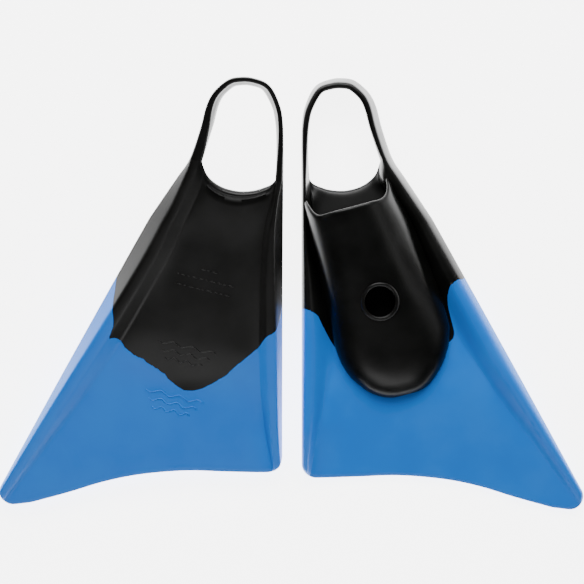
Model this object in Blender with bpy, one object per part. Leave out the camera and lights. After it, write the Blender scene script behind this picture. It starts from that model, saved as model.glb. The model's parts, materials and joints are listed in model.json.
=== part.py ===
"""Pair of asymmetric swim fins with open heels, lying side by side on a flat surface.

Metres, +Z up. The right fin lies on its sole and the left one lies on its instep, so that one shows its
top and the other its sole. Both come from the same pieces, modelled in the frame of one fin: its origin
is under the tip of the toes, +Y runs along the foot towards the heel, +X towards the slanted outer
edge, and +Z from the sole up through the instep. The sole sides of both rails lie at z = 0.
"""
from math import cos, pi, radians, sin, sqrt, tan

import bmesh
import bpy
from mathutils import Matrix, Vector

# Plan of the fin
EDGE_SPREAD = radians(29.0)      # angle between the straight inner edge and the slanted outer edge
TOE_HALF_WIDTH = 0.0985          # foot axis to either edge, level with the toes
INNER_CORNER_Y = -0.0484         # where the straight edge meets the trailing edge, before rounding
TIP_Y = -0.144                   # where the slanted edge meets the trailing edge, before rounding
INNER_CORNER_RADIUS = 0.0135
TIP_RADIUS = 0.012
FLEX_Y = -0.008                  # line across the fin where the blade bends, just past the toes
# Share of the way from the inner to the outer edge, and share of the way from corner to tip
TRAILING_EDGE = ((0.2355, 0.12), (0.386, 0.20), (0.5465, 0.336), (0.667, 0.487), (0.776, 0.675),
                 (0.879, 0.854))

# Foot pocket
POCKET_LENGTH = 0.175            # toes to the mouth under the instep
POCKET_HALF_WIDTH = 0.0525       # at the ball of the foot
BALL_Y = 0.055                   # ball of the foot, behind the toes
MOUTH_NARROWING = {-1: 0.0045, 1: 0.0178}   # what each side draws in between the ball and the mouth
TOE_HEIGHT = 0.030               # crown of the pocket over the toes, above the footbed's underside
INSTEP_HEIGHT = 0.058            # crown at the mouth
CROWN_OFFSET = -0.006            # the crown at the mouth leans this far towards the inner edge
WALL = 0.0035                    # rubber thickness of the pocket
DRAIN_RADIUS = 0.0135
DRAIN_X = -0.0042
DRAIN_Y = 0.088
DRAIN_BEAD_RADIUS = 0.0018
DRAIN_BEAD_SUNK = 0.0004         # how deep the bead's middle lies in the pocket's surface
DRAIN_STEPS = 28                 # flats round the drain hole
TOE_FLAT = 0.0006                # the pocket's front is cut off this far from its very tip
SEAT_RISE = 0.0006               # the pocket's sides start this far above its lower edge
CUTTER_OVERLAP = 0.004           # how far a cutter reaches past the face that it opens

# Sole
SOLE_UNDERSIDE = 0.0025          # how far the sole is set in from the rails
SOLE_THICKNESS = 0.0075
HEEL_EDGE_Y = POCKET_LENGTH + 0.018   # middle of the sole's heel edge, showing past the mouth
HEEL_EDGE_SAG = 0.010            # how much further its ends reach

# Rails
RAIL_WIDEST = 0.4                # height of the widest line, as a share of the rail's height
RAIL_HEIGHT_HEEL = 0.029
RAIL_HEIGHT_FLEX = 0.025
RAIL_HEIGHT_END = 0.006
SOLE_EDGE_INSET = 0.010          # how far the sole side of a rail is set in at the heel
CREST_INSET = {-1: 0.003, 1: 0.008}
CREST_WIDTH = 0.003
RAIL_SHOULDER = 0.72             # height where the rail turns in towards its crest, as a share
SOLE_EDGE_SHARE = 0.6            # part of the sole edge's inset that the strap and the rails take up
CREST_FULL_HEIGHT = 0.0181       # rails lower than this have their crest nearer to the edge
POCKET_SEAM = 0.9                # height where the rail meets the pocket beside the heel, as a share
SHALLOW_STEP = 0.0005            # least width or height of a rail's slope
SLOPE_FOOT_FLEX = {-1: 0.0168, 1: 0.0264}   # edge to the foot of the rail's slope, at the flex line
SLOPE_FOOT_GROWTH = {-1: 0.204, 1: 0.149}   # what that widens by for each metre towards the heel
BOND_TOE_Y = {-1: 0.056, 1: 0.043}          # colour break where it meets the pocket
BOND_EDGE_Y = {-1: 0.0997, 1: 0.089}        # colour break where it meets the edge

# Blade web
WEB_TAPER = 0.095                # the web thins out over this distance before the trailing edge
WEB_UNDERSIDE_FULL = 0.0065
WEB_THICKNESS_FULL = 0.006
WEB_UNDERSIDE_END = 0.0015
WEB_THICKNESS_END = 0.003

# Heel strap
STRAP_ROOT_Y = HEEL_EDGE_Y + 0.017    # line across the heel where the strap folds
STRAP_THICKNESS = 0.0055
STRAP_TOP_LEAN = 0.005           # how far the strap's upper edge leans in behind the heel
# Side, inset from that side's edge line, and distance behind the strap root
STRAP_LOOP = ((-1, 0.0, -0.062), (-1, 0.0, -0.021), (-1, 0.0, 0.0), (-1, 0.0, 0.035), (-1, 0.0008, 0.053),
              (-1, 0.003, 0.0635), (-1, 0.0088, 0.0752), (-1, 0.0158, 0.0808), (1, 0.0189, 0.082),
              (1, 0.0099, 0.0806), (1, 0.001, 0.0763), (1, -0.0043, 0.0673), (1, -0.0064, 0.0577),
              (1, -0.0052, 0.046), (1, -0.0002, 0.0265), (1, 0.0045, -0.001), (1, 0.0032, -0.0214),
              (1, 0.0, -0.0624))

# Layout and fits
FIN_SPACING = 0.016              # between the straight edges of the two fins
GAP = 0.0003                     # between touching pieces
WALL_STEP = 0.006                # length of the flat stretches that stand in for the curved walls
HALF_SPREAD = EDGE_SPREAD / 2
SIDES = {"inner": -1, "outer": 1}

BLACK_SOFT = ("soft black rubber", (0.012, 0.012, 0.011, 1), 0.38)
BLACK_HARD = ("hard black rubber", (0.016, 0.016, 0.015, 1), 0.45)
BLUE = ("blue blade rubber", (0.075, 0.27, 0.62, 1), 0.36)


def lerp(a, b, t):
    return a + (b - a) * t


def edge_line(y):
    """Distance from the foot axis to either straight edge."""
    return TOE_HALF_WIDTH - y * tan(HALF_SPREAD)


def smooth_path(points, steps):
    """Catmull-Rom curve through the points, with steps stretches between each two."""
    ends = [points[0] * 2 - points[1]] + points + [points[-1] * 2 - points[-2]]
    path = []
    for a, b, c, d in zip(ends, ends[1:], ends[2:], ends[3:]):
        for i in range(steps):
            t = i / steps
            path.append((b * 2 + (c - a) * t + (a * 2 - b * 5 + c * 4 - d) * t ** 2
                         + (b * 3 - a - c * 3 + d) * t ** 3) / 2)
    return path + [points[-1]]


def strap_line():
    """Widest line of the heel strap, from the inner edge round to the outer one."""
    points = [Vector((side * (edge_line(STRAP_ROOT_Y + dy) - inset), STRAP_ROOT_Y + dy))
              for side, inset, dy in STRAP_LOOP]
    return smooth_path(points, 5)


def outer_line(side, y):
    """Distance from the foot axis to the widest line of one side, up to the strap root."""
    line = strap_line()
    half = line[:len(line) // 2] if side < 0 else line[len(line) // 2:][::-1]
    for low, high in zip(half, half[1:]):
        if low.y <= y <= high.y:
            return abs(lerp(low.x, high.x, (y - low.y) / (high.y - low.y)))
    return edge_line(y)


def pocket_half(side, y):
    """Half-width of the pocket's outline on one side of the foot axis."""
    if y < BALL_Y:
        return POCKET_HALF_WIDTH * sqrt(max(0.0, 1 - ((BALL_Y - y) / BALL_Y) ** 2))
    t = (y - BALL_Y) / (POCKET_LENGTH - BALL_Y)
    return POCKET_HALF_WIDTH - MOUTH_NARROWING[side] * min(t, 1.0) ** 2


def well_half(side, y):
    """Inside of the walls beside the foot: the pocket's outline, then the inside of the strap."""
    if y <= POCKET_LENGTH:
        return pocket_half(side, y)
    t = (y - POCKET_LENGTH) / (STRAP_ROOT_Y - POCKET_LENGTH)
    return lerp(pocket_half(side, POCKET_LENGTH), strap_inside(side), min(t, 1.0))


def strap_inside(side):
    return outer_line(side, STRAP_ROOT_Y) - STRAP_THICKNESS - CREST_INSET[side] / 2


def rail_end_y(side):
    return INNER_CORNER_Y if side < 0 else TIP_Y


def rail_height(side, y):
    if y > FLEX_Y:
        return lerp(RAIL_HEIGHT_FLEX, RAIL_HEIGHT_HEEL, (y - FLEX_Y) / (STRAP_ROOT_Y - FLEX_Y))
    return lerp(RAIL_HEIGHT_FLEX, RAIL_HEIGHT_END, min(1.0, (y - FLEX_Y) / (rail_end_y(side) - FLEX_Y)))


def slope_foot(side, y):
    """Distance from the foot axis to where a rail's slope meets the web."""
    return edge_line(y) - SLOPE_FOOT_FLEX[side] - SLOPE_FOOT_GROWTH[side] * (y - FLEX_Y)


def web_share(point):
    """0 on the line of the trailing edge, 1 where the web has its full thickness."""
    corner = Vector((-edge_line(INNER_CORNER_Y), INNER_CORNER_Y))
    along = (Vector((edge_line(TIP_Y), TIP_Y)) - corner).normalized()
    distance = Vector((-along.y, along.x)).dot(Vector(point[:2]) - corner)
    return min(max(distance / WEB_TAPER, 0.0), 1.0)


def web_low(point):
    return lerp(WEB_UNDERSIDE_END, WEB_UNDERSIDE_FULL, web_share(point))


def web_high(point):
    return web_low(point) + lerp(WEB_THICKNESS_END, WEB_THICKNESS_FULL, web_share(point))


def rail_ring(side, y):
    """Section of a rail across the fin: round the outside, over the crest and down the inner slope."""
    outside = outer_line(side, y)
    height = rail_height(side, y)
    share = height / RAIL_HEIGHT_HEEL
    low_inset = SOLE_EDGE_INSET * SOLE_EDGE_SHARE * share ** 2
    crest = outside - CREST_INSET[side] * min(1.0, height / CREST_FULL_HEIGHT)
    beside_pocket = well_half(side, y) + GAP
    foot = slope_foot(side, y)
    if y > min(BOND_TOE_Y.values()):
        foot = beside_pocket
    elif y > FLEX_Y:
        foot = max(foot, beside_pocket)
    crest_inside = max(crest - CREST_WIDTH, foot + SHALLOW_STEP)
    foot_point = (side * foot, y)
    beside_foot = min(max((y - BALL_Y) / (STRAP_ROOT_Y - BALL_Y), 0.0), 1.0)
    foot_top = min(lerp(web_high(foot_point), height * POCKET_SEAM, beside_foot), height - SHALLOW_STEP)
    points = ((outside - low_inset, 0.0), (outside - low_inset / 3, height * RAIL_WIDEST / 2),
              (outside, height * RAIL_WIDEST), ((outside + crest) / 2, height * RAIL_SHOULDER),
              (crest, height), (crest_inside, height), (foot, foot_top), (foot, web_low(foot_point)),
              (lerp(outside - low_inset, foot, 0.5), 0.0))
    return [Vector((side * x, y, z)) for x, z in points]


def loft(rings):
    """Closed solid through rings that all have the same number of points."""
    bm = bmesh.new()
    loops = [[bm.verts.new(point) for point in ring] for ring in rings]
    for low, high in zip(loops, loops[1:]):
        for i, vert in enumerate(low):
            after = (i + 1) % len(low)
            bm.faces.new((vert, low[after], high[after], high[i]))
    bm.faces.new(loops[0])
    bm.faces.new(loops[-1])
    bmesh.ops.recalc_face_normals(bm, faces=bm.faces)
    return bm


def plate(outline, low, high):
    """Closed solid over a plan outline, between two heights that are functions of the place."""
    bm = bmesh.new()
    bottom = bm.faces.new([bm.verts.new((p.x, p.y, low(p))) for p in outline])
    top = bmesh.ops.extrude_face_region(bm, geom=[bottom])["geom"]
    for vert in (item for item in top if isinstance(item, bmesh.types.BMVert)):
        vert.co.z = high(vert.co)
    bmesh.ops.recalc_face_normals(bm, faces=bm.faces)
    return bm


def keep_side(bm, point, normal):
    """Cut a solid with a plane and keep the side that the normal points to."""
    geometry = bm.verts[:] + bm.edges[:] + bm.faces[:]
    bmesh.ops.bisect_plane(bm, geom=geometry, plane_co=point, plane_no=normal, clear_inner=True)
    bmesh.ops.holes_fill(bm, edges=[edge for edge in bm.edges if edge.is_boundary])
    bmesh.ops.recalc_face_normals(bm, faces=bm.faces)
    return bm


def material(finish):
    name, color, roughness = finish
    found = bpy.data.materials.get(name)
    if found:
        return found
    made = bpy.data.materials.new(name)
    made.use_nodes = True
    shader = made.node_tree.nodes["Principled BSDF"]
    shader.inputs["Base Color"].default_value = color
    shader.inputs["Roughness"].default_value = roughness
    shader.inputs["Metallic"].default_value = 0.0
    made.diffuse_color = color
    return made


def add_object(name, bm, finish, fin, collection, pivot=(0, 0, 0)):
    """Object under the fin's empty, with its origin at pivot in the fin's frame."""
    bmesh.ops.translate(bm, verts=bm.verts, vec=-Vector(pivot))
    bmesh.ops.triangulate(bm, faces=[face for face in bm.faces if len(face.verts) > 4])
    mesh = bpy.data.meshes.new(name)
    bm.to_mesh(mesh)
    bm.free()
    part = bpy.data.objects.new(name, mesh)
    collection.objects.link(part)
    part.parent = fin
    part.location = pivot
    if finish:
        mesh.materials.append(material(finish))
    return part


def boolean(part, operation, cutter):
    change = part.modifiers.new(operation.lower(), "BOOLEAN")
    change.operation = operation
    change.solver = "EXACT"
    change.object = cutter


def add_cutter(name, bm, fin, cutters, pivot=(0, 0, 0)):
    cutter = add_object(name, bm, None, fin, cutters, pivot)
    cutter.hide_render = True
    cutter.display_type = "WIRE"
    return cutter


def fillet(corner, before, after, radius, steps=6):
    """Arc that rounds a corner of an outline."""
    to_before = (before - corner).normalized()
    to_after = (after - corner).normalized()
    half = to_before.angle(to_after) / 2
    centre = corner + (to_before + to_after).normalized() * radius / sin(half)
    start = corner + to_before * radius / tan(half) - centre
    finish = corner + to_after * radius / tan(half) - centre
    sweep = start.angle(finish)
    return [centre + (start * sin(sweep * (1 - i / steps)) + finish * sin(sweep * i / steps)) / sin(sweep)
            for i in range(steps + 1)]


def trailing_edge():
    """Plan points round the inner corner, along the trailing edge and round the tip."""
    def point(share, y):
        return Vector((lerp(-edge_line(y), edge_line(y), share), y))
    corner = point(0.0, INNER_CORNER_Y)
    tip = point(1.0, TIP_Y)
    places = [point(share, lerp(INNER_CORNER_Y, TIP_Y, down)) for share, down in TRAILING_EDGE]
    middle = smooth_path(places, 3)
    inner_edge = point(0.0, FLEX_Y)
    outer_edge = point(1.0, FLEX_Y)
    return (fillet(corner, inner_edge, middle[0], INNER_CORNER_RADIUS) + middle
            + fillet(tip, middle[-1], outer_edge, TIP_RADIUS))


def blade_trimmer(fin, cutters, prefix):
    """Cutter with the plan of the blade past the flex line, tall enough to keep all of its height."""
    past = FLEX_Y + CUTTER_OVERLAP
    half = edge_line(FLEX_Y) + CUTTER_OVERLAP
    outline = [Vector((-half, past))] + trailing_edge() + [Vector((half, past))]
    bm = plate(outline, lambda point: -CUTTER_OVERLAP, lambda point: RAIL_HEIGHT_FLEX + CUTTER_OVERLAP)
    return add_cutter(prefix + "_blade_trimmer", bm, fin, cutters)


def stations(low, high):
    """Places along the foot from low to high, at whole steps in between, so that neighbours share them."""
    first = int(low / WALL_STEP) + 1
    inside = [i * WALL_STEP for i in range(first, int(high / WALL_STEP) + 1)]
    return [low] + [y for y in inside if low + WALL_STEP / 4 < y < high - WALL_STEP / 4] + [high]


def rail_span(side, low, high):
    return loft([rail_ring(side, y) for y in stations(low, high)])


def bond_plane(side, shift):
    """Upright plane of the colour break on one rail, moved towards the heel by shift."""
    near = Vector((side * POCKET_HALF_WIDTH, BOND_TOE_Y[side] + shift, 0))
    far = Vector((side * edge_line(BOND_EDGE_Y[side]), BOND_EDGE_Y[side] + shift, 0))
    across = (far - near).normalized()
    normal = Vector((-across.y, across.x, 0)) * (1 if side > 0 else -1)
    return near, normal if normal.y > 0 else -normal


def make_shoulder(fin, parts, prefix, side_name):
    side = SIDES[side_name]
    bm = rail_span(side, BOND_TOE_Y[side] - WALL_STEP, STRAP_ROOT_Y - GAP / 2)
    near, normal = bond_plane(side, GAP / 2)
    keep_side(bm, near, normal)
    return add_object(f"{prefix}_{side_name}_shoulder", bm, BLACK_HARD, fin, parts)


def pocket_outline(offset, low_y, steps=14):
    """Plan of the pocket from the inner side round the toes to the outer side, grown by offset."""
    ys = [low_y * (1 - cos(pi / 2 * i / steps)) for i in range(steps + 1)]
    scale = (POCKET_HALF_WIDTH + offset) / POCKET_HALF_WIDTH
    inner = [Vector((-pocket_half(-1, y) * scale, y - offset * (1 - y / low_y))) for y in reversed(ys)]
    outer = [Vector((pocket_half(1, y) * scale, y - offset * (1 - y / low_y))) for y in ys[1:]]
    return inner + outer


def make_blade_root(fin, parts, cutters, prefix):
    """Blue web and rail roots round the toes, as one piece."""
    start = FLEX_Y + GAP / 2
    top_y = min(BOND_TOE_Y.values())
    lap = CUTTER_OVERLAP
    around_toes = pocket_outline(GAP, top_y)
    inner = [Vector((-slope_foot(-1, y) - lap, y)) for y in (start, top_y)]
    outer = [Vector((slope_foot(1, y) + lap, y)) for y in (top_y, start)]
    outline = inner + around_toes + outer
    root = add_object(prefix + "_blade_root", plate(outline, web_low, web_high), BLUE, fin, parts)
    for name, side in SIDES.items():
        bm = rail_span(side, start, BOND_EDGE_Y[side] + WALL_STEP)
        near, normal = bond_plane(side, -GAP / 2)
        keep_side(bm, near, -normal)
        boolean(root, "UNION", add_cutter(f"{prefix}_{name}_rail_root", bm, fin, cutters))
    return root


def make_blade(fin, parts, prefix, trimmer, pivot):
    """Web and two rails past the flex line, which move as one."""
    start = FLEX_Y - GAP / 2
    reach = TIP_Y - CUTTER_OVERLAP
    inner = [Vector((-slope_foot(-1, y) + GAP, y)) for y in (reach, start)]
    outer = [Vector((slope_foot(1, y) - GAP, y)) for y in (start, reach)]
    web_outline = inner + outer
    web = add_object(prefix + "_blade_web", plate(web_outline, web_low, web_high), BLUE, fin, parts, pivot)
    boolean(web, "INTERSECT", trimmer)
    for name, side in SIDES.items():
        bm = rail_span(side, rail_end_y(side) - CUTTER_OVERLAP, start)
        rail = add_object(f"{prefix}_{name}_rail", bm, BLUE, fin, parts, pivot)
        boolean(rail, "INTERSECT", trimmer)


def make_sole(fin, parts, prefix):
    well = stations(BALL_Y, HEEL_EDGE_Y + HEEL_EDGE_SAG)[1:]
    inner = [Vector((-well_half(-1, y) + GAP, y)) for y in reversed(well)]
    outer = [Vector((well_half(1, y) - GAP, y)) for y in well]
    middle = (inner[0].x + outer[-1].x) / 2
    half = (outer[-1].x - inner[0].x) / 2
    heel = [Vector((middle + half * t, HEEL_EDGE_Y + HEEL_EDGE_SAG * t ** 2))
            for t in (0.8, 0.5, 0.2, -0.2, -0.5, -0.8)]
    outline = inner + pocket_outline(-GAP, BALL_Y) + outer + heel
    bm = plate(outline, lambda point: SOLE_UNDERSIDE, lambda point: SOLE_UNDERSIDE + SOLE_THICKNESS)
    return add_object(prefix + "_sole", bm, BLACK_HARD, fin, parts)


def crown_height(y):
    """Height of the pocket's crown above the footbed."""
    rise = sqrt(max(0.0, 1 - max(0.0, 1 - y / (BALL_Y * 0.9)) ** 2))
    bed = SOLE_UNDERSIDE + SOLE_THICKNESS
    return (lerp(TOE_HEIGHT, INSTEP_HEIGHT, (y / POCKET_LENGTH) ** 0.85) - bed) * rise


def pocket_ring(y, wall, floor, count=18):
    """Arch of the pocket across the foot, drawn in by wall, closed along its floor."""
    left = pocket_half(-1, y) - wall
    right = pocket_half(1, y) - wall
    height = crown_height(y) - wall
    lean = CROWN_OFFSET * y / POCKET_LENGTH
    bed = SOLE_UNDERSIDE + SOLE_THICKNESS + GAP
    ring = [Vector((-left, y, bed + floor))]
    for i in range(count + 1):
        angle = pi * (1 - i / count)
        across = abs(cos(angle)) ** 0.8 * (1 if cos(angle) > 0 else -1)
        up = sin(angle) ** 0.8 if 0 < i < count else 0.0
        half = right if across > 0 else left
        seat = bed + max(floor + SEAT_RISE, 0)
        ring.append(Vector((across * half + lean * up ** 3, y, seat + height * up)))
    ring.append(Vector((right, y, bed + floor)))
    return ring


def pocket_solid(wall, floor, low_y, high_y, steps=16):
    ys = [low_y + (high_y - low_y) * (1 - cos(pi / 2 * i / steps)) for i in range(steps + 1)]
    return loft([pocket_ring(y, wall, floor) for y in ys])


def make_foot_pocket(fin, parts, cutters, prefix):
    """Instep shell, open at the mouth and along the footbed, with a beaded drain hole."""
    outside = pocket_solid(0.0, 0.0, TOE_FLAT, POCKET_LENGTH)
    shell = add_object(prefix + "_foot_pocket", outside, BLACK_SOFT, fin, parts)
    hollow = pocket_solid(WALL, -CUTTER_OVERLAP, WALL * 1.6, POCKET_LENGTH + CUTTER_OVERLAP)
    bed = SOLE_UNDERSIDE + SOLE_THICKNESS
    drain_top = bed + crown_height(DRAIN_Y)
    slope = (crown_height(DRAIN_Y + WALL) - crown_height(DRAIN_Y - WALL)) / (2 * WALL)
    bead = bmesh.new()
    ring = bmesh.ops.create_circle(bead, radius=DRAIN_BEAD_RADIUS, segments=8)["verts"]
    centre = (0, 0, 0)
    bmesh.ops.rotate(bead, verts=ring, cent=centre, matrix=Matrix.Rotation(pi / 2, 3, "X"))
    bmesh.ops.translate(bead, verts=ring, vec=(DRAIN_RADIUS + DRAIN_BEAD_RADIUS, 0, 0))
    bmesh.ops.spin(bead, geom=bead.edges[:], cent=centre, axis=(0, 0, 1), angle=2 * pi, steps=DRAIN_STEPS,
                   use_merge=True)
    bmesh.ops.rotate(bead, verts=bead.verts, cent=centre, matrix=Matrix.Rotation(slope, 3, "X"))
    bmesh.ops.translate(bead, verts=bead.verts, vec=(DRAIN_X, DRAIN_Y, drain_top - DRAIN_BEAD_SUNK))
    bmesh.ops.recalc_face_normals(bead, faces=bead.faces)
    boolean(shell, "DIFFERENCE", add_cutter(prefix + "_foot_room", hollow, fin, cutters))
    boolean(shell, "UNION", add_cutter(prefix + "_drain_bead", bead, fin, cutters))
    hole = bmesh.new()
    depth = INSTEP_HEIGHT - bed
    bmesh.ops.create_cone(hole, cap_ends=True, segments=DRAIN_STEPS, radius1=DRAIN_RADIUS,
                          radius2=DRAIN_RADIUS, depth=depth)
    bmesh.ops.translate(hole, verts=hole.verts, vec=(DRAIN_X, DRAIN_Y, drain_top + depth / 10))
    boolean(shell, "DIFFERENCE", add_cutter(prefix + "_drain_cutter", hole, fin, cutters))
    return shell


def strap_rings():
    """Sections of the strap, each square to its widest line."""
    line = strap_line()
    height = RAIL_HEIGHT_HEEL
    low_inset = SOLE_EDGE_INSET * SOLE_EDGE_SHARE
    rings = []
    for i, point in enumerate(line):
        ahead = (line[min(i + 1, len(line) - 1)] - line[max(i - 1, 0)]).normalized()
        inward = Vector((ahead.y, -ahead.x))
        t = i / (len(line) - 1)
        more = (STRAP_TOP_LEAN - CREST_INSET[-1]) * sin(pi * t) ** 2
        lean = lerp(CREST_INSET[-1], CREST_INSET[1], t) + more
        inside = STRAP_THICKNESS + lean / 2
        profile = ((low_inset, 0.0), (low_inset / 3, height * RAIL_WIDEST / 2), (0.0, height * RAIL_WIDEST),
                   (lean / 2, height * RAIL_SHOULDER), (lean, height), (lean + CREST_WIDTH, height),
                   (inside, height * 0.6), (inside, height * 0.25), (low_inset + CREST_WIDTH, 0.0))
        rings.append([Vector((point.x + inward.x * d, point.y + inward.y * d, z)) for d, z in profile])
    return rings


def make_heel_strap(fin, parts, prefix, pivot):
    bm = loft(strap_rings())
    keep_side(bm, Vector((0, STRAP_ROOT_Y + GAP / 2, 0)), Vector((0, 1, 0)))
    return add_object(prefix + "_heel_strap", bm, BLACK_SOFT, fin, parts, pivot)


def make_fin(prefix, strap_pivot_z, blade_pivot_z, parts, cutters):
    """All pieces of one fin, under an empty at the fin's origin."""
    fin = bpy.data.objects.new(prefix + "_fin", None)
    parts.objects.link(fin)
    trimmer = blade_trimmer(fin, cutters, prefix)
    make_foot_pocket(fin, parts, cutters, prefix)
    make_sole(fin, parts, prefix)
    for side_name in SIDES:
        make_shoulder(fin, parts, prefix, side_name)
    make_blade_root(fin, parts, cutters, prefix)
    make_blade(fin, parts, prefix, trimmer, (0, FLEX_Y, blade_pivot_z))
    make_heel_strap(fin, parts, prefix, (0, STRAP_ROOT_Y, strap_pivot_z))
    return fin


def resting_plane():
    """Normal of the plane that a fin rests on when its instep is down: pocket, tip and inner corner."""
    samples = [lerp(BALL_Y, POCKET_LENGTH, i / 60) for i in range(61)]
    crown = [point for y in samples for point in pocket_ring(y, 0.0, 0.0)]
    edge = trailing_edge()
    groups = (crown,
              [Vector((p.x, p.y, RAIL_HEIGHT_END)) for p in edge if p.x > 0],
              [Vector((p.x, p.y, RAIL_HEIGHT_END)) for p in edge if p.x < 0])
    normal = Vector((0, 0, 1))
    for _ in range(12):
        a, b, c = (max(group, key=normal.dot) for group in groups)
        normal = (b - a).cross(c - a).normalized()
        normal = normal if normal.z > 0 else -normal
    return normal


def world_corners(objects):
    points = []
    graph = bpy.context.evaluated_depsgraph_get()
    for part in objects:
        shown = part.evaluated_get(graph)
        points += [shown.matrix_world @ vert.co for vert in shown.data.vertices]
    low = Vector(min(point[i] for point in points) for i in range(3))
    high = Vector(max(point[i] for point in points) for i in range(3))
    return low, high


def place(fin, turn, edge_x):
    """Turn a fin, stand it on z = 0 and put its straight edge at edge_x."""
    fin.matrix_world = turn.to_4x4()
    bpy.context.view_layer.update()
    low, high = world_corners([part for part in fin.children if not part.hide_render])
    near = low.x if edge_x > 0 else high.x
    fin.location = Vector((edge_x - near, -(low.y + high.y) / 2, -low.z))


def main():
    for item in list(bpy.data.objects):
        bpy.data.objects.remove(item)
    parts = bpy.data.collections.new("swim_fins")
    cutters = bpy.data.collections.new("cutters")
    bpy.context.scene.collection.children.link(parts)
    bpy.context.scene.collection.children.link(cutters)
    right = make_fin("right", RAIL_HEIGHT_HEEL, RAIL_HEIGHT_FLEX, parts, cutters)
    left = make_fin("left", 0.0, 0.0, parts, cutters)
    square_up = Matrix.Rotation(HALF_SPREAD, 3, "Z")
    turn_over = Matrix.Rotation(pi, 3, "Y") @ square_up
    down = turn_over @ resting_plane()
    tilt = down.rotation_difference(Vector((0, 0, -1))).to_matrix()
    place(right, square_up, FIN_SPACING / 2)
    place(left, tilt @ turn_over, -FIN_SPACING / 2)
    bpy.context.view_layer.update()
    low, high = world_corners([part for part in parts.objects if part.type == "MESH"])
    for fin in (right, left):
        fin.location -= Vector(((low.x + high.x) / 2, (low.y + high.y) / 2, low.z))
    bpy.context.view_layer.update()


main()
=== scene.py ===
"""Looks of a pair of asymmetric swim fins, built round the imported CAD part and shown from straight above.

Sizes are in metres. Every piece is shaped in the frame of one fin, its "foot frame": the origin is under
the tip of the toes, +Y runs along the foot to the heel, +X to the slanted outer edge, +Z from the sole up.
"""
import json
from math import atan2, cos, pi, radians, sin, tan

import bmesh
import bpy
from bpy.props import FloatProperty, PointerProperty
from mathutils import Matrix, Vector, noise


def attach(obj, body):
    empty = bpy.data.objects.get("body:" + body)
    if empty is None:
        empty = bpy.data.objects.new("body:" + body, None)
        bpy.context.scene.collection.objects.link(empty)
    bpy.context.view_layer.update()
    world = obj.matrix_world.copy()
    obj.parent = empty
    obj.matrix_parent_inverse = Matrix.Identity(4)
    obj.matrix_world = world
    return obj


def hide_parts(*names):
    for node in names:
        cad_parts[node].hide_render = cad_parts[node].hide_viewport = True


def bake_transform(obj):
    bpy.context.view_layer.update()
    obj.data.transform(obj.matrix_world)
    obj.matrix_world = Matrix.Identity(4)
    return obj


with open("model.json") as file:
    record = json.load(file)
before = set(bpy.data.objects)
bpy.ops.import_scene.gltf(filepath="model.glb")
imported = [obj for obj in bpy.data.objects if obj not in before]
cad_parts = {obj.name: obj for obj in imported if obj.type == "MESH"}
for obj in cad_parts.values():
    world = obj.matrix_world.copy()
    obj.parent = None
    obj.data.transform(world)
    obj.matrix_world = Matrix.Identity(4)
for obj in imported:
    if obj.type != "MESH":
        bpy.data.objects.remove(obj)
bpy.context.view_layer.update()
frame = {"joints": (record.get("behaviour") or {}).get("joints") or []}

bl_info = {
    "name": "Swim fins",
    "version": (1, 0),
    "blender": (4, 5, 0),
    "location": "View3D > Sidebar > Swim fins",
    "description": "Builds the rubber pieces of a pair of swim fins and the studio they are shown in",
    "category": "Object",
}

FINS = ("right", "left")
SIDES = (1, -1)                  # outer, inner
MM = 0.001
TOE_HALF_WIDTH = 0.0985          # foot axis to either edge, level with the toes
HALF_SPREAD = radians(14.5)      # lean of each straight edge away from the foot axis
INNER_CORNER_Y = -0.0484
TIP_Y = -0.144
CORNER_RADIUS = {-1: 0.0135, 1: 0.012}
FLEX_Y = -0.008
ROOT_Y = 0.210                   # line across the heel where the strap folds
STRAP_PIVOT_Z = {"right": 0.029, "left": 0.0}
BLADE_PIVOT_Z = {"right": 0.025, "left": 0.0}
TRAILING_EDGE = ((0.2355, 0.12), (0.386, 0.20), (0.5465, 0.336), (0.667, 0.487), (0.776, 0.675),
                 (0.879, 0.854))
# Side, inset from that side's edge line, and distance behind the strap root, along the widest line
STRAP_LOOP = ((-1, 0.0, -0.062), (-1, 0.0, -0.021), (-1, 0.0, 0.0), (-1, 0.0, 0.035), (-1, 0.0008, 0.053),
              (-1, 0.003, 0.0635), (-1, 0.0088, 0.0752), (-1, 0.0158, 0.0808), (1, 0.0189, 0.082),
              (1, 0.0099, 0.0806), (1, 0.001, 0.0763), (1, -0.0043, 0.0673), (1, -0.0064, 0.0577),
              (1, -0.0052, 0.046), (1, -0.0002, 0.0265), (1, 0.0045, -0.001), (1, 0.0032, -0.0214),
              (1, 0.0, -0.0624))

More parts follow.
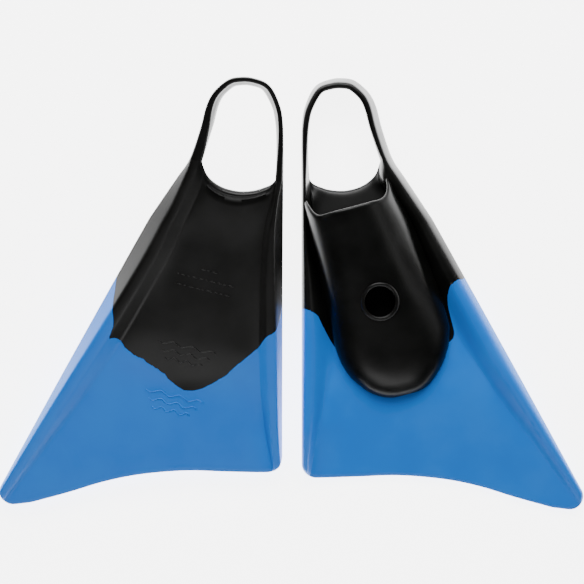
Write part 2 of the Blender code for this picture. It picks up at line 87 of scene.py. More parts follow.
# Sections of the rails in mm: place along the foot, then points (inset from the widest line, height) from
# the widest line over the crest to the foot of the slope, and from the widest line under the sole edge.
RAILS = {
    1: (
        (-150, ((0, 2.4), (0, 3.6), (.6, 5), (1.6, 5.8), (2.8, 6), (3.8, 5.9), (4.6, 5.5), (5.2, 5),
                (5.8, 4.6), (6.6, 4.5)),
         ((0, 2.4), (0, 1.2), (.4, .2), (1, 0), (4.5, 0), (5.4, .4), (6.6, 1.5))),
        (-65, ((0, 10), (.8, 12), (2.4, 14.8), (4.4, 16.6), (7.4, 17.1), (10, 16.2), (12.4, 13.8),
               (14.8, 11.6), (16.4, 10.4), (17.9, 9.8)),
         ((0, 10), (1, 6), (2.8, 1.1), (3.8, 0), (11, 0), (13, .6), (19, 4.6))),
        (-8, ((0, 14.5), (1.1, 17), (3.4, 21.2), (6.4, 24.3), (10.6, 25.2), (14.4, 24), (18.4, 20),
              (22, 15.6), (24.6, 13.2), (26.6, 12.4)),
         ((0, 14.5), (1.6, 10.4), (5.2, 1.2), (6.2, 0), (15, 0), (17.4, .8), (27.5, 6.4))),
        (55, ((0, 15.5), (1.1, 18), (3.7, 22.4), (7, 25.8), (11.6, 26.6), (15.6, 25.4), (20.4, 21.4),
              (25, 16.2), (29, 13), (33, 12.2)),
         ((0, 15.5), (2.8, 11), (8.5, 1.2), (9.6, 0), (18.6, 0), (21, .8), (32, 4.8))),
        (115, ((0, 16), (1.1, 18.6), (3.9, 23.4), (7.2, 26.9), (11.2, 27.7), (14.4, 26.6), (17.4, 23.4),
               (20.4, 19), (22.6, 12), (24.6, 10)),
         ((0, 16), (3.4, 11.3), (10.6, 1.2), (11.8, 0), (20.4, 0), (22.8, .9), (32, 3.4))),
        (160, ((0, 13), (1, 17), (4, 24), (7, 28), (10.4, 28.6), (13, 27.6), (15.4, 25.6), (18, 22.5),
               (20.4, 12), (22.6, 10)),
         ((0, 13), (3, 9), (9.2, 1), (10.4, 0), (16.5, 0), (19, 1), (27, 3.2))),
        (190, ((0, 8), (1.2, 14.5), (4.6, 24), (7, 28.3), (9.6, 29), (12.4, 28.3), (18, 25.4),
               (20.6, 23.8), (21.8, 12), (23.2, 9.6)),
         ((0, 8), (1.6, 5.4), (4.8, .8), (5.9, 0), (11, 0), (14.5, 1), (21.6, 2.9))),
        (210, ((0, 3.4), (1.4, 12.5), (5, 24.4), (6.6, 28.6), (8.6, 29), (10.4, 28.2), (11, 23),
               (11.2, 12), (11.2, 6), (10.8, 2.4)),
         ((0, 3.4), (.2, 1.6), (.9, .4), (2, 0), (6.4, 0), (8.6, .4), (10.8, 2.4))),
    ),
    -1: (
        (-60, ((0, 2.4), (0, 3.6), (.5, 5), (1.4, 5.8), (2.4, 6), (3.4, 5.8), (4.2, 5.4), (4.9, 5),
               (5.5, 4.6), (6.3, 4.5)),
         ((0, 2.4), (0, 1.2), (.3, .2), (.8, 0), (4.4, 0), (5.2, .4), (6.3, 1.5))),
        (-8, ((0, 14.5), (.2, 17), (.9, 21), (2.6, 24.2), (5.6, 25.2), (8.4, 24), (11, 20), (13.4, 15.6),
              (15.2, 13.2), (16.8, 12.4)),
         ((0, 14.5), (1.3, 10.2), (4, 1.1), (4.8, 0), (11, 0), (12.6, .8), (16.8, 6.4))),
        (55, ((0, 15.5), (.2, 18), (.9, 22.4), (2.8, 25.7), (6.2, 26.6), (10.6, 25.4), (16, 21.4),
              (21.6, 16.2), (26, 13), (30, 12.2)),
         ((0, 15.5), (2, 10.6), (5.7, 1.1), (6.6, 0), (14.4, 0), (16.2, .8), (21.4, 4.6))),
        (115, ((0, 16), (.2, 18.6), (.8, 23.4), (2.4, 26.8), (5.2, 27.7), (8.8, 26.6), (12, 23.4),
               (15, 19), (17.6, 12), (19.8, 10)),
         ((0, 16), (2.4, 11.2), (7.3, 1.1), (8.2, 0), (15.2, 0), (16.8, .8), (20.6, 3.2))),
        (160, ((0, 13), (.2, 17.5), (.6, 24.2), (1.4, 28), (3.4, 28.6), (5.2, 27.6), (6.4, 25), (7.6, 19),
               (9.6, 12), (12.4, 10)),
         ((0, 13), (2.8, 8.8), (7.9, 1), (8.8, 0), (13, 0), (14.4, .8), (17.6, 3))),
        (190, ((0, 9), (.2, 14.5), (.4, 24), (.9, 28.3), (2.6, 29), (4.4, 28.3), (5.4, 24), (6.6, 17),
               (8.2, 11.4), (10.4, 9.6)),
         ((0, 9), (1.8, 5.8), (5, .9), (5.9, 0), (8, 0), (9.2, .8), (11.4, 2.8))),
        (210, ((0, 5), (.2, 12.5), (.4, 24), (.9, 28.4), (2.4, 29), (4.2, 28.2), (5, 23), (6, 12), (7, 6),
               (7.4, 2.4)),
         ((0, 5), (.5, 2.6), (1.6, .5), (2.8, 0), (4.6, 0), (6.2, .4), (7.4, 2.4))),
    ),
}
# Sections of the free strap in mm between its two roots: share of its length, then the same points
STRAP_SECTIONS = (
    (0.22, ((0, 4), (0, 12), (.1, 24), (.4, 28.4), (2.8, 29), (5.6, 28.6), (6.3, 25), (6.2, 12), (5.4, 7),
            (4.6, 3.4)),
     ((0, 4), (0, 2.6), (.4, 1.6), (1, 1.4), (3.2, 1.4), (4.3, 1.9), (4.6, 3.4))),
    (0.50, ((0, 4), (1, 11), (4.1, 23), (5.2, 28.4), (7.8, 29), (10.6, 28.6), (11.2, 25), (8.6, 12),
            (5.6, 7), (4.4, 3.4)),
     ((0, 4), (0, 2.6), (.4, 1.6), (1, 1.4), (3, 1.4), (4, 1.9), (4.4, 3.4))),
    (0.76, ((0, 4), (1.1, 11), (4.8, 23), (6, 28.4), (8.8, 29), (11.4, 28.6), (12, 25), (9.8, 12),
            (7.2, 7), (6, 3.4)),
     ((0, 4), (0, 2.6), (.4, 1.6), (1.2, 1.4), (4.2, 1.4), (5.4, 1.9), (6, 3.4))),
)
# Share across from the slope foot of the outer rail to that of the inner one, and place along the foot
HEEL_EDGE = ((0.0, 0.210), (0.02, 0.2035), (0.05, 0.1995), (0.12, 0.1958), (0.25, 0.1925), (0.40, 0.1915),
             (0.56, 0.1925), (0.74, 0.1962), (0.87, 0.2008), (0.95, 0.2045), (0.985, 0.2075), (1.0, 0.210))
# Colour break: share of the way from the foot axis to the edge, and place along the foot
BREAK_TOP = ((-1.0, 0.0997), (-0.81, 0.0904), (-0.75, 0.080), (-0.63, 0.0584), (-0.45, 0.046), (0.0, 0.038),
             (0.45, 0.036), (0.614, 0.0422), (0.677, 0.0692), (0.784, 0.0855), (0.9, 0.0891), (1.0, 0.0889))
BREAK_SOLE = ((-1.0, 0.0997), (-0.97, 0.0885), (-0.92, 0.0785), (-0.81, 0.0708), (-0.737, 0.0593),
              (-0.55, 0.0415), (-0.423, 0.0265), (-0.213, 0.0087), (-0.07, 0.0041), (0.188, 0.0164),
              (0.369, 0.0225), (0.55, 0.0286), (0.708, 0.0373), (0.775, 0.0357), (0.79, 0.0475),
              (0.891, 0.0645), (0.95, 0.078), (1.0, 0.0889))

BREAK_RAG = 0.0011               # how far the colour break's teeth stand out
WEB_TAPER = 0.095                # from the trailing edge to where the web has its full thickness
WEB_LOW = (0.0015, 0.0065)       # height of the web's sole side at the trailing edge and where it is full
WEB_THICK = (0.003, 0.006)
FOOTBED_TOP = 0.0105
FOOTBED_SOLE = 0.0042
FOOTBED_DISH = 0.0016            # rise of the footbed towards its sides
FOOTBED_START = 0.055            # place along the foot where the web has turned into the footbed
HEEL_DROP = 0.0035               # how much the footbed's top falls towards the heel edge
SOLE_DROP = 0.0022
BLEND_REACH = 0.16               # share of the web over which a rail's foot runs out
RAIL_COLUMNS = 26
WEB_COLUMNS = 84
TOP_COLUMNS = 2 * RAIL_COLUMNS + WEB_COLUMNS
RING = 2 * TOP_COLUMNS
EDGE_ROWS = (0.08, 0.3, 0.7, 1.25, 2.0, 3.0)    # distances from a free edge in mm
SHARP_EDGE = radians(50)
SHARP_DRAIN_EDGE = radians(40)


# ---- curves and outlines -------------------------------------------------------------------------------

def lerp(a, b, t):
    """Value t of the way from a to b."""
    return a + (b - a) * t


def ease(t):
    """Smooth step from 0 to 1, flat at both ends."""
    t = min(max(t, 0.0), 1.0)
    return t * t * (3 - 2 * t)


def curve(table, x):
    """Smooth curve through (x, value) pairs, flat beyond both ends; a value is a number or a tuple."""
    if x <= table[0][0]:
        return table[0][1]
    if x >= table[-1][0]:
        return table[-1][1]
    i = next(k for k in range(len(table) - 1) if table[k + 1][0] >= x)
    low, high = table[i], table[i + 1]
    before = table[max(i - 1, 0)]
    after = table[min(i + 2, len(table) - 1)]
    width = high[0] - low[0]
    t = (x - low[0]) / width

    def one(a, b, c, d):
        slope = (c - b) / width
        start = (c - a) / (high[0] - before[0])
        end = (d - b) / (after[0] - low[0])
        if slope == 0:
            start = end = 0.0
        else:
            start = slope * min(max(start / slope, 0.0), 3.0)
            end = slope * min(max(end / slope, 0.0), 3.0)
        return (b * (1 + 2 * t) * (1 - t) ** 2 + c * t * t * (3 - 2 * t)
                + width * (start * t * (1 - t) ** 2 - end * t * t * (1 - t)))
    if isinstance(low[1], tuple):
        return tuple(one(*values) for values in zip(before[1], low[1], high[1], after[1]))
    return one(before[1], low[1], high[1], after[1])


def spline(points, count):
    """Cubic B-spline over the control points, clamped at both ends, as count + 1 points."""
    ends = [tuple(2 * a - b for a, b in zip(points[0], points[1]))]
    tails = [tuple(2 * a - b for a, b in zip(points[-1], points[-2]))]
    line = ends + list(points) + tails
    spans = len(points) - 1
    made = []
    for k in range(count + 1):
        place = spans * k / count
        i = min(int(place), spans - 1)
        t = place - i
        w = ((1 - t) ** 3 / 6, (3 * t ** 3 - 6 * t * t + 4) / 6, (-3 * t ** 3 + 3 * t * t + 3 * t + 1) / 6,
             t ** 3 / 6)
        made.append(tuple(sum(w[j] * line[i + j][axis] for j in range(4)) for axis in (0, 1)))
    return made


def smooth_path(points, steps):
    """Catmull-Rom curve through the points, with steps stretches between each two."""
    ends = [points[0] * 2 - points[1]] + points + [points[-1] * 2 - points[-2]]
    path = []
    for a, b, c, d in zip(ends, ends[1:], ends[2:], ends[3:]):
        for i in range(steps):
            t = i / steps
            path.append((b * 2 + (c - a) * t + (a * 2 - b * 5 + c * 4 - d) * t ** 2
                         + (b * 3 - a - c * 3 + d) * t ** 3) / 2)
    return path + [points[-1]]


def edge_line(y):
    """Distance from the foot axis to either straight edge."""
    return TOE_HALF_WIDTH - y * tan(HALF_SPREAD)


def strap_line():
    """Widest line of the strap, from the inner edge round behind the heel to the outer one."""
    points = [Vector((side * (edge_line(ROOT_Y + back) - inset), ROOT_Y + back))
              for side, inset, back in STRAP_LOOP]
    return smooth_path(points, 16)


STRAP_LINE = strap_line()
HALF_LINES = {-1: STRAP_LINE[:len(STRAP_LINE) // 2], 1: STRAP_LINE[len(STRAP_LINE) // 2:][::-1]}


def outer_line(side, y):
    """Distance from the foot axis to the widest line of one side, up to the strap root."""
    line = HALF_LINES[side]
    if y > line[0].y:
        for low, high in zip(line, line[1:]):
            if low.y <= y <= high.y:
                return abs(lerp(low.x, high.x, (y - low.y) / (high.y - low.y)))
    return edge_line(y)


def fillet(corner, before, after, radius, steps=24):
    """Arc that rounds a corner between the points before and after it."""
    to_before = (before - corner).normalized()
    to_after = (after - corner).normalized()
    half = to_before.angle(to_after) / 2
    centre = corner + (to_before + to_after).normalized() * radius / sin(half)
    start = corner + to_before * radius / tan(half) - centre
    finish = corner + to_after * radius / tan(half) - centre
    sweep = start.angle(finish)
    return [centre + (start * sin(sweep * (1 - i / steps)) + finish * sin(sweep * i / steps)) / sin(sweep)
            for i in range(steps + 1)]


def trailing_edge():
    """Blade's outline as (share across, y), from the inner edge round the corner to the tip."""
    def point(share, y):
        return Vector((lerp(-edge_line(y), edge_line(y), share), y))
    corner, tip = point(0.0, INNER_CORNER_Y), point(1.0, TIP_Y)
    places = [point(share, lerp(INNER_CORNER_Y, TIP_Y, down)) for share, down in TRAILING_EDGE]
    middle = smooth_path(places, 12)
    line = (fillet(corner, point(0.0, FLEX_Y), middle[0], CORNER_RADIUS[-1]) + middle
            + fillet(tip, middle[-1], point(1.0, FLEX_Y), CORNER_RADIUS[1]))
    return [(p.x / edge_line(p.y), p.y) for p in line]


OUTLINE = trailing_edge()


def outline_y(share):
    """Place of the trailing edge at a share of the way across."""
    for low, high in zip(OUTLINE, OUTLINE[1:]):
        if low[0] <= share <= high[0]:
            return lerp(low[1], high[1], (share - low[0]) / max(high[0] - low[0], 1e-9))
    return OUTLINE[0][1] if share < 0 else OUTLINE[-1][1]


# ---- sections ------------------------------------------------------------------------------------------

def flat(points):
    """Points as one run of numbers."""
    return tuple(value for point in points for value in point)


def pairs(values):
    """Run of numbers as points."""
    return [(values[i], values[i + 1]) for i in range(0, len(values), 2)]


RAIL_TOPS = {side: [(y * MM, flat(top)) for y, top, low in RAILS[side]] for side in SIDES}
RAIL_LOWS = {side: [(y * MM, flat(low)) for y, top, low in RAILS[side]] for side in SIDES}


class Sections:
    """Rail sections by side and place, kept once they are worked out."""
    def __init__(self):
        self.kept = {}

    def rail(self, side, y, is_top):
        key = (side, round(y, 7), is_top)
        if key not in self.kept:
            table = RAIL_TOPS[side] if is_top else RAIL_LOWS[side]
            outside = outer_line(side, y)
            line = spline(pairs(curve(table, y)), RAIL_COLUMNS)
            self.kept[key] = [(side * (outside - d * MM), z * MM) for d, z in line]
        return self.kept[key]


SECTIONS = Sections()


def web_share(x, y):
    """0 on the line of the trailing edge, 1 where the web has its full thickness."""
    corner = Vector((-edge_line(INNER_CORNER_Y), INNER_CORNER_Y))
    along = (Vector((edge_line(TIP_Y), TIP_Y)) - corner).normalized()
    distance = Vector((-along.y, along.x)).dot(Vector((x, y)) - corner)
    return min(max(distance / WEB_TAPER, 0.0), 1.0)


def web_height(x, y, is_top):
    """Height of the web, which turns into the footbed behind the toes."""
    share = ease(web_share(x, y)) * 0.5 + web_share(x, y) * 0.5
    low = lerp(*WEB_LOW, share)
    back = ease(y / FOOTBED_START)
    if is_top:
        dish = FOOTBED_DISH * min(abs(x) / 0.045, 1.0) ** 4
        top = lerp(low + lerp(*WEB_THICK, share), FOOTBED_TOP + dish, back)
        return top - HEEL_DROP * ease((y - 0.160) / 0.045)
    return lerp(low, FOOTBED_SOLE, back) - SOLE_DROP * ease((y - 0.135) / 0.06)


def section_point(j, y):
    """Point of column j of the ring round one fin's body, at y. Column 0 is the outer widest line."""
    is_top = j <= TOP_COLUMNS
    k = j if is_top else RING - j
    outer = SECTIONS.rail(1, y, is_top)
    inner = SECTIONS.rail(-1, y, is_top)
    if k <= RAIL_COLUMNS:
        return outer[k]
    if k >= TOP_COLUMNS - RAIL_COLUMNS:
        return inner[TOP_COLUMNS - k]
    w = (k - RAIL_COLUMNS) / WEB_COLUMNS
    x = lerp(outer[-1][0], inner[-1][0], w)
    z = web_height(x, y, is_top)
    for foot, far in ((outer[-1], w), (inner[-1], 1 - w)):
        z += (foot[1] - web_height(foot[0], y, is_top)) * (1 - min(far / BLEND_REACH, 1.0)) ** 2
    return x, z


def web_place(j):
    """Share of the way across the web for a column: 0 at the outer slope foot, 1 at the inner one."""
    k = j if j <= TOP_COLUMNS else RING - j
    return min(max((k - RAIL_COLUMNS) / WEB_COLUMNS, 0.0), 1.0)


def break_y(j):
    """Where column j crosses the colour break, which is a little ragged."""
    is_top = j <= TOP_COLUMNS
    table = BREAK_TOP if is_top else BREAK_SOLE
    low, high = -0.03, 0.14
    for _ in range(30):
        y = (low + high) / 2
        x = section_point(j, y)[0]
        if y > curve(table, min(max(x / edge_line(y), -1.0), 1.0)):
            high = y
        else:
            low = y
    y = (low + high) / 2
    x = section_point(j, y)[0]
    share = abs(x) / edge_line(y)
    rag = (noise.noise(Vector((x * 150, 3.1 * is_top, 0.7)))
           + 0.5 * noise.noise(Vector((x * 420, 9.2, is_top)))
           + 0.35 * noise.noise(Vector((x * 900, 2.2, is_top))))
    return y + BREAK_RAG * rag * (1 - ease((share - 0.9) / 0.1))


def end_y(j):
    """Where column j meets the trailing edge."""
    low, high = TIP_Y - 0.01, 0.02
    for _ in range(34):
        y = (low + high) / 2
        share = section_point(j, y)[0] / edge_line(y)
        if y > outline_y(share):
            high = y
        else:
            low = y
    return (low + high) / 2


BREAKS = [break_y(j) for j in range(RING)]
ENDS = [end_y(j) for j in range(RING)]
HEELS = [curve(HEEL_EDGE, web_place(j)) for j in range(RING)]


def twin(j):
    """The column on the other face that meets column j at a free edge."""
    return (RING - j) % RING


def edge_rounding(distance, depth):
    """Share of its full thickness that the rubber has near a free edge."""
    t = min(max(distance / depth, 0.0), 1.0)
    return (1 - (1 - t) ** 2) ** 0.5


def body_point(j, y, free_distance, depth):
    """Point of a column, drawn in to mid-thickness near a free edge."""
    x, z = section_point(j, y)
    if free_distance < depth:
        other = section_point(twin(j), y)
        share = edge_rounding(free_distance, depth)
        x, z = lerp((x + other[0]) / 2, x, share), lerp((z + other[1]) / 2, z, share)
    return Vector((x, y, z))


def break_point(j):
    """Where column j and its twin meet on the colour break, half-way through the rubber."""
    x, z = section_point(j, BREAKS[j])
    other = section_point(twin(j), BREAKS[twin(j)])
    return Vector(((x + other[0]) / 2, (BREAKS[j] + BREAKS[twin(j)]) / 2, (z + other[1]) / 2))


def heel_bead(j, distance):
    """Raised lip and groove along the heel edge, on the sole side."""
    if j <= TOP_COLUMNS or not 0 < web_place(j) < 1:
        return 0.0
    ends = ease(min(web_place(j), 1 - web_place(j)) / 0.12)
    d = distance / MM
    lip = -1.5 * max(0.0, 1 - ((d - 3.0) / 3.2) ** 2)
    groove = 0.9 * max(0.0, 1 - ((d - 7.6) / 2.4) ** 2)
    return (lip + groove) * ends * MM


# ---- meshes --------------------------------------------------------------------------------------------

def grid_mesh(rows, columns, place, closed=True):
    """Grid of rows by columns whose points are given by place(row, column); closed joins its sides."""
    bm = bmesh.new()
    bmesh.ops.create_grid(bm, x_segments=columns, y_segments=rows, size=1.0)
    for vert in bm.verts:
        column = round((vert.co.x + 1) / 2 * columns)
        row = round((vert.co.y + 1) / 2 * rows)
        vert.co = place(row, column % columns if closed else column)
    if closed:
        bmesh.ops.remove_doubles(bm, verts=bm.verts, dist=2e-6)
    return bm


def close_up(bm):
    """Fill the holes that are left and make the faces look outwards."""
    bmesh.ops.dissolve_degenerate(bm, edges=bm.edges, dist=1e-6)
    bmesh.ops.holes_fill(bm, edges=[edge for edge in bm.edges if edge.is_boundary])
    bmesh.ops.recalc_face_normals(bm, faces=bm.faces)
    for face in bm.faces:
        face.smooth = True


def sharpen(bm, angle):
    """Mark the edges that bend more than the angle, so that shading stops at them."""
    for edge in bm.edges:
        if len(edge.link_faces) == 2 and edge.calc_face_angle(0.0) > angle:
            edge.smooth = False


def foot_mesh(name, bm):
    """Mesh in the foot frame, which keeps each point's place in that frame as an attribute."""
    mesh = bpy.data.meshes.new(name)
    bm.to_mesh(mesh)
    bm.free()
    if not mesh.polygons:
        raise RuntimeError(f"{name} has no faces")
    foot = mesh.attributes.new("foot_place", "FLOAT_VECTOR", "POINT")
    foot.data.foreach_set("vector", [value for vert in mesh.vertices for value in vert.co])
    return mesh


def piece(name, shape, place, material):
    """Object at the origin whose mesh is a foot-frame mesh moved to its place in the row frame."""
    mesh = shape.copy()
    mesh.transform(place)
    mesh.materials.append(material)
    made = bpy.data.objects.new(name, mesh)
    bpy.context.scene.collection.objects.link(made)
    return made


def fin_place(fin):
    """Matrix from a fin's foot frame to the row frame, from where its two hinges are."""
    joints = {joint["name"]: joint for joint in frame["joints"]}
    strap, blade = joints[f"{fin}_strap_fold"], joints[f"{fin}_blade_flex"]
    flip = 1 if fin == "right" else -1
    x_axis = Vector(strap["axis"]).normalized() * flip
    reach = Vector(strap["pos_m"]) - Vector(blade["pos_m"])
    rise = STRAP_PIVOT_Z[fin] - BLADE_PIVOT_Z[fin]
    y_axis = (Matrix.Rotation(-atan2(rise, ROOT_Y - FLEX_Y), 3, x_axis) @ reach).normalized()
    y_axis = (y_axis - x_axis * y_axis.dot(x_axis)).normalized()
    turn = Matrix((x_axis, y_axis, x_axis.cross(y_axis))).transposed()
    origin = Vector(blade["pos_m"]) - turn @ Vector((0, FLEX_Y, BLADE_PIVOT_Z[fin]))
    return Matrix.Translation(origin) @ turn.to_4x4()


# ---- black body ----------------------------------------------------------------------------------------

BODY_ROWS = 64
HEEL_ROUNDING = 1.5              # the heel edge is rounded deeper than the trailing edge, by this much


def body_mesh():
    """Sole and both rails between the colour break and the strap root, with its heel edge rounded off."""
    free = [distance * MM * HEEL_ROUNDING for distance in EDGE_ROWS]

    def place(row, j):
        start, end = BREAKS[j], HEELS[j]
        if row == 0:
            return break_point(j)
        is_web = 0 < web_place(j) < 1
        steps = BODY_ROWS - len(free) - 1
        if row <= steps + 1:
            y = lerp(start, end - free[-1], (row - 1) / steps)
        else:
            y = end - ([0.0] + free)[BODY_ROWS - row]
        point = body_point(j, y, (end - y) if is_web else 1.0, free[-1])
        point.z += heel_bead(j, end - y) * edge_rounding(end - y, free[-1])
        return point
    bm = grid_mesh(BODY_ROWS, RING, place)
    close_up(bm)
    sharpen(bm, SHARP_EDGE)
    return bm


# ---- blade ---------------------------------------------------------------------------------------------

BLADE_ROWS = 66


def blade_mesh():
    """Web and rails from the colour break to the trailing edge."""
    free = [distance * MM for distance in EDGE_ROWS]

    def place(row, j):
        start, end = BREAKS[j], (ENDS[j] + ENDS[twin(j)]) / 2
        if row == 0:
            return break_point(j)
        steps = BLADE_ROWS - len(free) - 1
        if row <= steps + 1:
            y = lerp(start, end + free[-1], (row - 1) / steps)
        else:
            y = end + ([0.0] + free)[BLADE_ROWS - row]
        return body_point(j, y, y - end, free[-1])
    bm = grid_mesh(BLADE_ROWS, RING, place)
    close_up(bm)
    sharpen(bm, SHARP_EDGE)
    return bm


# ---- strap ---------------------------------------------------------------------------------------------

STRAP_ROWS = 120
STRAP_PASSES = 60
ROOT_SHARE = 0.16                # share of the strap over which its sections turn away from the rails
AHEAD = 0.012                    # half of the share over which the strap's direction is measured


def relaxed(line, passes):
    """The line with its kinks worn off: every pass that shrinks it is followed by one that swells it."""
    for share in (0.5, -0.52) * passes:
        middles = [(a + b) / 2 for a, b in zip(line, line[2:])]
        line = line[:1] + [p.lerp(m, share) for p, m in zip(line[1:], middles)] + line[-1:]
    return line


def strap_mesh():
    """Strap from its inner root round behind the heel to its outer root."""
    line = [p for p in STRAP_LINE if p.y >= ROOT_Y]
    inner = Vector((-outer_line(-1, ROOT_Y), ROOT_Y))
    outer = Vector((outer_line(1, ROOT_Y), ROOT_Y))
    line = [inner] + [p for p in line if (p - inner).length > 1e-4 and (p - outer).length > 1e-4] + [outer]
    line = relaxed(line, STRAP_PASSES)
    lengths = [0.0]
    for a, b in zip(line, line[1:]):
        lengths.append(lengths[-1] + (b - a).length)
    total = lengths[-1]
    tops = ([(0.0, RAIL_TOPS[-1][-1][1])] + [(s, flat(top)) for s, top, low in STRAP_SECTIONS]
            + [(1.0, RAIL_TOPS[1][-1][1])])
    lows = ([(0.0, RAIL_LOWS[-1][-1][1])] + [(s, flat(low)) for s, top, low in STRAP_SECTIONS]
            + [(1.0, RAIL_LOWS[1][-1][1])])

    def along(s):
        for i, (a, b) in enumerate(zip(lengths, lengths[1:])):
            if a <= s * total <= b:
                return line[i].lerp(line[i + 1], (s * total - a) / (b - a))
        return line[-1]
    rings = []
    for row in range(STRAP_ROWS + 1):
        s = row / STRAP_ROWS
        here = along(s)
        ahead = (along(min(s + AHEAD, 1.0)) - along(max(s - AHEAD, 0.0))).normalized()
        inward = Vector((ahead.y, -ahead.x))
        for root, direction in ((s, Vector((1, 0))), (1 - s, Vector((-1, 0)))):
            inward = direction.lerp(inward, ease(root / ROOT_SHARE)).normalized()
        top = spline(pairs(curve(tops, s)), RAIL_COLUMNS)
        low = spline(pairs(curve(lows, s)), RAIL_COLUMNS)
        ring = top + low[-2:0:-1]
        rings.append([Vector((here.x + inward.x * d * MM, here.y + inward.y * d * MM, z * MM))
                      for d, z in ring])
    bm = grid_mesh(STRAP_ROWS, len(rings[0]), lambda row, j: rings[row][j])
    close_up(bm)
    sharpen(bm, SHARP_EDGE)
    return bm


# ---- raised marks on the sole --------------------------------------------------------------------------

RIDGE_RADIUS = 0.0005
RIDGE_SIDES = 8
WAVE_HEIGHT = 1.6                # in mm, like the bars' lengths and places


def bar_rows():
    """Three rows of short plain bars across the sole: starts and ends in mm, and their place along it."""
    paths = []
    for y, low, high in ((116, -9, 7), (107.5, -26, 25), (98.5, -25, 25)):
        x, k = low, 0
        while x < high:
            length = 2.2 + 1.6 * ((k * 7 + int(y)) % 3)
            paths.append([(x * MM, y * MM), (min(x + length, high) * MM, y * MM)])
            x += length + 1.7
            k += 1
    return paths


def waves(heel_end):
    """Three plain wavy lines across the sole, the widest one at heel_end (mm) and each next one shorter."""
    steps = 60
    return [[(lerp(-half, half, i / steps) * MM,
              (heel_end - 7 * row + WAVE_HEIGHT * sin(6 * pi * i / steps)) * MM) for i in range(steps + 1)]
            for row, half in enumerate((26, 22, 17))]


def ridge_mesh(paths):
    """Thin half-round ridges along paths on the sole side."""
    whole = bmesh.new()
    for path in paths:
        points = [Vector((x, y, web_height(x, y, False))) for x, y in path]

        def place(row, column):
            here = points[row]
            ahead = (points[min(row + 1, len(points) - 1)] - points[max(row - 1, 0)]).normalized()
            across = Vector((-ahead.y, ahead.x, 0)).normalized()
            angle = 2 * pi * column / RIDGE_SIDES
            return here + (across * cos(angle) + Vector((0, 0, 1)) * sin(angle)) * RIDGE_RADIUS
        bm = grid_mesh(len(points) - 1, RIDGE_SIDES, place)
        close_up(bm)
        mesh = bpy.data.meshes.new("temporary")
        bm.to_mesh(mesh)
        bm.free()
        whole.from_mesh(mesh)
        bpy.data.meshes.remove(mesh)
    return whole


# ---- pocket --------------------------------------------------------------------------------------------

# Plan of the pocket in mm: place along the foot, then the distance of each side from the foot axis
POCKET_SIDES = {
    -1: ((0, 0), (1.5, 13.5), (5, 23.5), (12, 33.4), (20, 40), (28.7, 45.9), (42, 50.6), (59.4, 52.6),
         (80, 52.4), (100, 51.4), (145, 49.9), (175, 48.4), (200, 46.8)),
    1: ((0, 0), (1.5, 11.5), (5, 20.5), (12, 29.5), (20, 37), (28, 42.6), (38.6, 48), (52, 52), (70, 52),
        (92.7, 49.4), (120, 46.6), (148.7, 42), (175, 34.5), (200, 30)),
}
CROWN = ((0.0, 0.0125), (0.0015, 0.0165), (0.006, 0.0215), (0.015, 0.0265), (0.03, 0.031), (0.06, 0.0365),
         (0.09, 0.0415), (0.13, 0.049), (0.175, 0.0565), (0.21, 0.0600))
POCKET_TOE_Y = 0.0012
MOUTH_Y = 0.1752
MOUTH_HORN = 0.017               # how far the mouth's lip runs on towards the heel at both sides
BEAD_SUNK = 0.15                 # share of the bead's radius that its middle lies below the surface
POCKET_ROWS = 46
POCKET_COLUMNS = 56


def pocket_point(q, y):
    """Point of the pocket's outside: q is -1 on the inner side, 1 on the outer side."""
    left = curve(POCKET_SIDES[-1], y / MM) * MM
    right = curve(POCKET_SIDES[1], y / MM) * MM
    side = 1 if q > 0 else -1
    half = right if q > 0 else left
    sweep = sin(abs(q) * pi / 2)
    power = 2.4 if q < 0 else lerp(2.4, 1.9, ease((y - 0.06) / 0.1))
    root = 2.2 if q < 0 else lerp(2.2, 1.45, ease((y - 0.035) / 0.06) * ease(q / 0.5))
    up = max(0.0, 1 - sweep ** power) ** (1 / root)
    lean = -0.006 * y / 0.175
    seat = lerp(0.0105, 0.0125, ease((y - 0.02) / 0.05)) if q < 0 else lerp(0.0105, 0.0135, ease(y / 0.08))
    rise = ease((y - 0.12) / 0.07)
    seat = lerp(seat, 0.0245 if q < 0 else 0.0255, rise)
    crown = curve(CROWN, y)
    return Vector((side * sweep * half + lean * up ** 3, y, lerp(seat, crown, up)))


def mouth_y(q):
    """Where the pocket ends: straight across the instep, running on towards the heel along both sides."""
    if q < 0:
        return MOUTH_Y + MOUTH_HORN * ease((-q - 0.45) / 0.55) ** 1.3
    return MOUTH_Y + 0.0015 * q + MOUTH_HORN * ease((q - 0.36) / 0.64) ** 1.3


def pocket_shell():
    """Outside of the pocket as one open sheet, from the toes to the mouth."""
    def place(row, column):
        q = 2 * column / POCKET_COLUMNS - 1
        t = row / POCKET_ROWS
        return pocket_point(q, lerp(POCKET_TOE_Y, mouth_y(q), t ** 1.7))
    return grid_mesh(POCKET_ROWS, POCKET_COLUMNS, place, closed=False)


def ring_mesh(radius, tube):
    """Ring round +Z at the origin."""
    bm = bmesh.new()
    circle = bmesh.ops.create_circle(bm, radius=tube, segments=20)["verts"]
    bmesh.ops.rotate(bm, verts=circle, cent=(0, 0, 0), matrix=Matrix.Rotation(pi / 2, 3, "X"))
    bmesh.ops.translate(bm, verts=circle, vec=(radius, 0, 0))
    bmesh.ops.spin(bm, geom=bm.edges[:], cent=(0, 0, 0), axis=(0, 0, 1), angle=2 * pi, steps=72,
                   use_merge=True)
    bmesh.ops.recalc_face_normals(bm, faces=bm.faces)
    return bm


def pocket_height(x, y):
    """Height of the pocket's outside over a point of the plan."""
    low, high = -1.0, 1.0
    for _ in range(26):
        q = (low + high) / 2
        if pocket_point(q, y).x < x:
            low = q
        else:
            high = q
    return pocket_point(q, y).z


